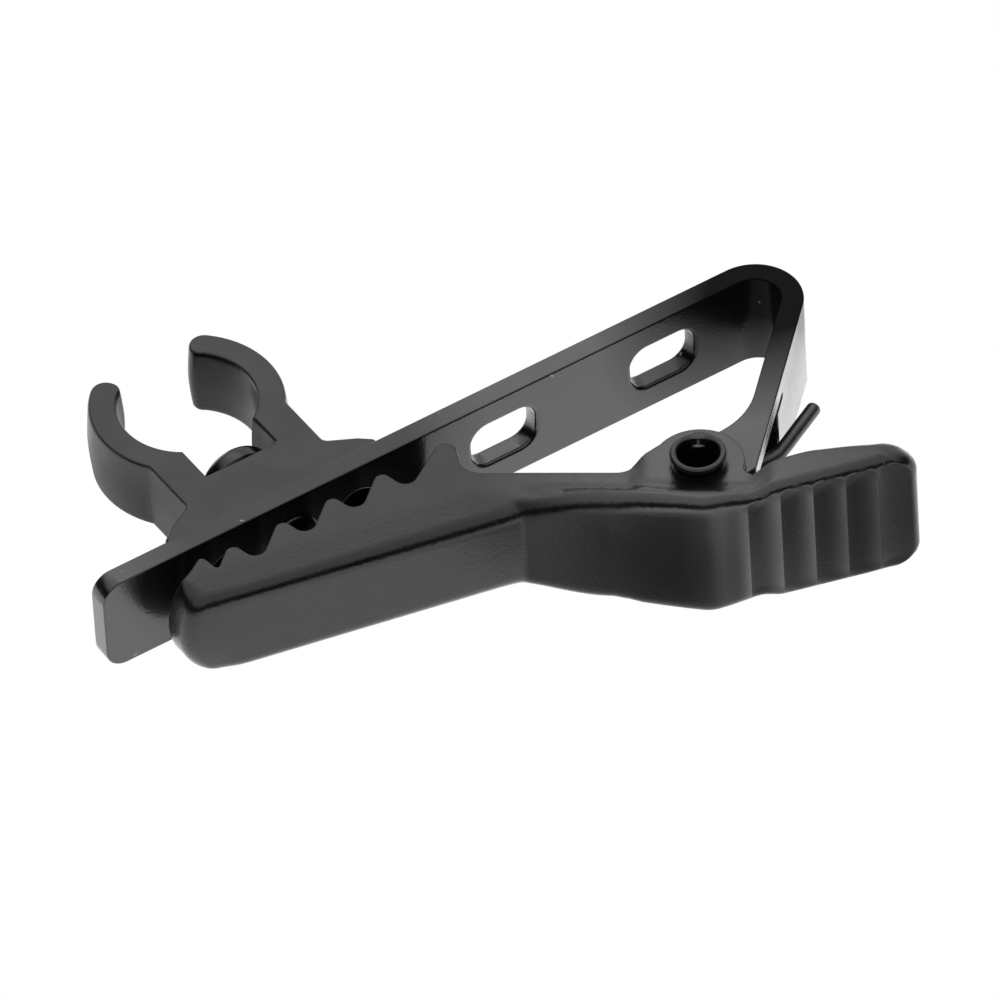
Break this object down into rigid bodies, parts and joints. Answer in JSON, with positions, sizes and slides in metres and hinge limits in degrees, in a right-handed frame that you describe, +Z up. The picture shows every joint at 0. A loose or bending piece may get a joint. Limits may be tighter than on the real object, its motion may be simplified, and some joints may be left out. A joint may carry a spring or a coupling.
{
  "type": "lavalier microphone tie clip",
  "caption": "Sprung tie clip with a toothed jaw on a bent steel strip and a swivelling snap holder for a lavalier microphone.",
  "frame": {"origin": "on the surface the clip lies on, under the middle of its box", "axes": "+X along the clip from the mouth of its jaws to its thumb end, +Y from the jaw towards the microphone holder, +Z up, across the clip's width, along the jaw's pivot"},
  "size_m": [0.044, 0.0326, 0.0085],
  "materials": {
    "strip_paint": "semi-gloss black enamel on steel",
    "jaw_paint": "satin black enamel on a casting",
    "rivet_black": "gloss black",
    "spring_wire": "blackened spring steel",
    "holder_plastic": "matte black moulded plastic"
  },
  "bodies": {
    "strip": {"clip_strip": "strip_paint", "pivot_rivet": "rivet_black", "torsion_spring": "spring_wire", "holder_rivet": "rivet_black"},
    "jaw": {"lower_jaw": "jaw_paint"},
    "holder": {"mic_holder": "holder_plastic"}
  },
  "joints": [
    {"name": "jaw_pivot", "type": "hinge", "parent": "strip", "child": "jaw", "pos_m": [0.00945, -0.00934, 0.00425], "axis": [0, 0, 1], "range_deg": [0, 25], "stiffness_Nm_per_rad": 0.1, "springref_deg": -45.84, "deforming": ["torsion_spring"]},
    {"name": "holder_swivel", "type": "hinge", "parent": "strip", "child": "holder", "pos_m": [-0.0099, 0.00276, 0.00425], "axis": [0, 1, 0], "continuous": true}
  ]
}
